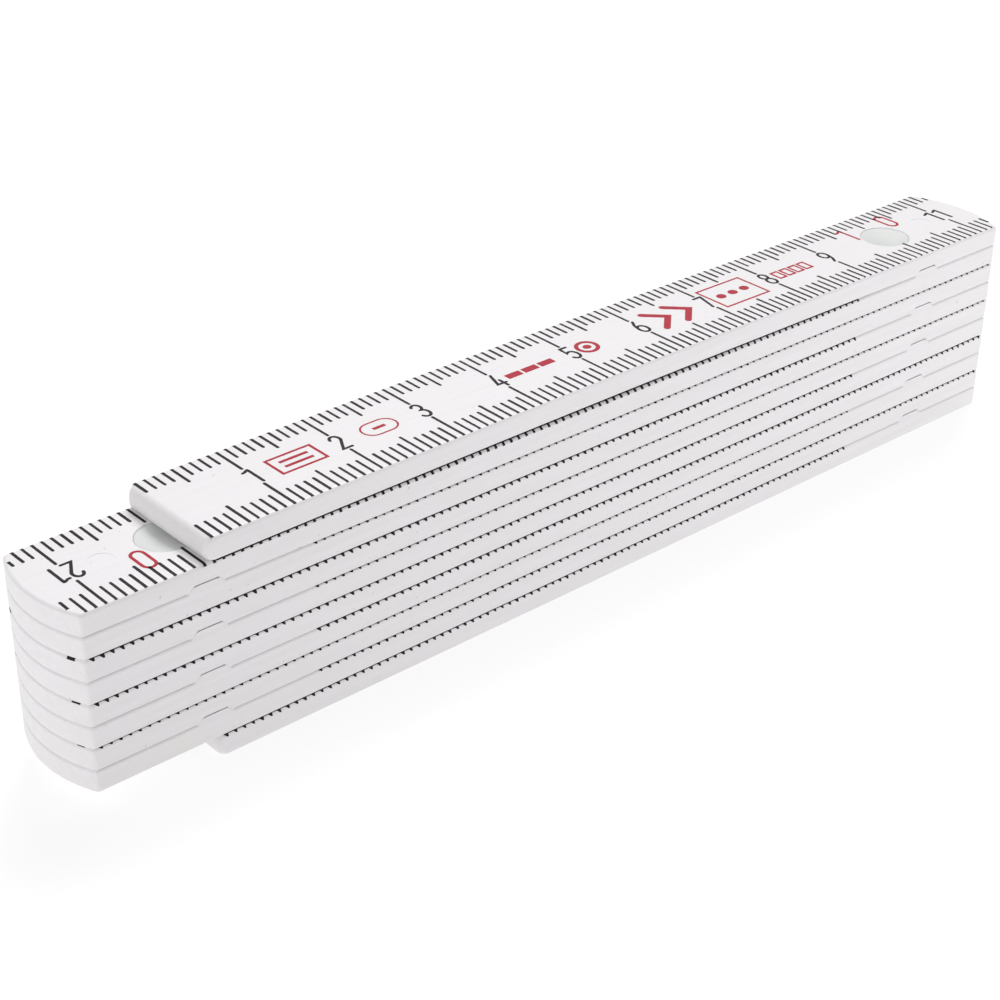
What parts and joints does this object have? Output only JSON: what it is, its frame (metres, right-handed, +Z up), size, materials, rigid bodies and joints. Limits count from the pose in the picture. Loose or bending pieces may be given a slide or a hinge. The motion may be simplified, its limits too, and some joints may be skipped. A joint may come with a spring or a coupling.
{
  "type": "folding rule",
  "caption": "Flat-lying folding rule: a stack of slim plastic graduated segments joined end to end by sprung pivots that each swing a half turn either way.",
  "frame": {"origin": "under the middle of the folded stack, on the surface that the rule lies on", "axes": "+X along the rule towards the first pivot, +Y across its width, +Z up through the stack, from the last segment to the first"},
  "size_m": [0.1286, 0.013, 0.0233],
  "materials": {
    "segment_plastic": "white glass-fibre filled plastic, fine satin grain, printed scale",
    "pin_plastic": "pale grey-green moulded plastic",
    "spring_steel": "bare spring steel"
  },
  "bodies": {
    "segment_01": {"segment_01": "segment_plastic", "pivot_pin_1": "pin_plastic", "spring_washer_1": "spring_steel", "retaining_ring_1": "spring_steel"},
    "segment_02": {"segment_02": "segment_plastic", "pivot_pin_2": "pin_plastic", "spring_washer_2": "spring_steel", "retaining_ring_2": "spring_steel"},
    "segment_03": {"segment_03": "segment_plastic", "pivot_pin_3": "pin_plastic", "spring_washer_3": "spring_steel", "retaining_ring_3": "spring_steel"},
    "segment_04": {"segment_04": "segment_plastic", "pivot_pin_4": "pin_plastic", "spring_washer_4": "spring_steel", "retaining_ring_4": "spring_steel"},
    "segment_05": {"segment_05": "segment_plastic", "pivot_pin_5": "pin_plastic", "spring_washer_5": "spring_steel", "retaining_ring_5": "spring_steel"},
    "segment_06": {"segment_06": "segment_plastic", "pivot_pin_6": "pin_plastic", "spring_washer_6": "spring_steel", "retaining_ring_6": "spring_steel"},
    "segment_07": {"segment_07": "segment_plastic", "pivot_pin_7": "pin_plastic", "spring_washer_7": "spring_steel", "retaining_ring_7": "spring_steel"},
    "segment_08": {"segment_08": "segment_plastic", "pivot_pin_8": "pin_plastic", "spring_washer_8": "spring_steel", "retaining_ring_8": "spring_steel"},
    "segment_09": {"segment_09": "segment_plastic", "pivot_pin_9": "pin_plastic", "spring_washer_9": "spring_steel", "retaining_ring_9": "spring_steel"},
    "segment_10": {"segment_10": "segment_plastic"}
  },
  "joints": [
    {"name": "fold_09_10", "type": "hinge", "parent": "segment_10", "child": "segment_09", "pos_m": [0.05, 0, 0.00235], "axis": [0, 0, 1], "range_deg": [-180, 180]},
    {"name": "fold_08_09", "type": "hinge", "parent": "segment_09", "child": "segment_08", "pos_m": [-0.05, 0, 0.0047], "axis": [0, 0, 1], "range_deg": [-180, 180]},
    {"name": "fold_07_08", "type": "hinge", "parent": "segment_08", "child": "segment_07", "pos_m": [0.05, 0, 0.00705], "axis": [0, 0, 1], "range_deg": [-180, 180]},
    {"name": "fold_06_07", "type": "hinge", "parent": "segment_07", "child": "segment_06", "pos_m": [-0.05, 0, 0.0094], "axis": [0, 0, 1], "range_deg": [-180, 180]},
    {"name": "fold_05_06", "type": "hinge", "parent": "segment_06", "child": "segment_05", "pos_m": [0.05, 0, 0.01175], "axis": [0, 0, 1], "range_deg": [-180, 180]},
    {"name": "fold_04_05", "type": "hinge", "parent": "segment_05", "child": "segment_04", "pos_m": [-0.05, 0, 0.0141], "axis": [0, 0, 1], "range_deg": [-180, 180]},
    {"name": "fold_03_04", "type": "hinge", "parent": "segment_04", "child": "segment_03", "pos_m": [0.05, 0, 0.01645], "axis": [0, 0, 1], "range_deg": [-180, 180]},
    {"name": "fold_02_03", "type": "hinge", "parent": "segment_03", "child": "segment_02", "pos_m": [-0.05, 0, 0.0188], "axis": [0, 0, 1], "range_deg": [-180, 180]},
    {"name": "fold_01_02", "type": "hinge", "parent": "segment_02", "child": "segment_01", "pos_m": [0.05, 0, 0.02115], "axis": [0, 0, 1], "range_deg": [-180, 180]}
  ]
}
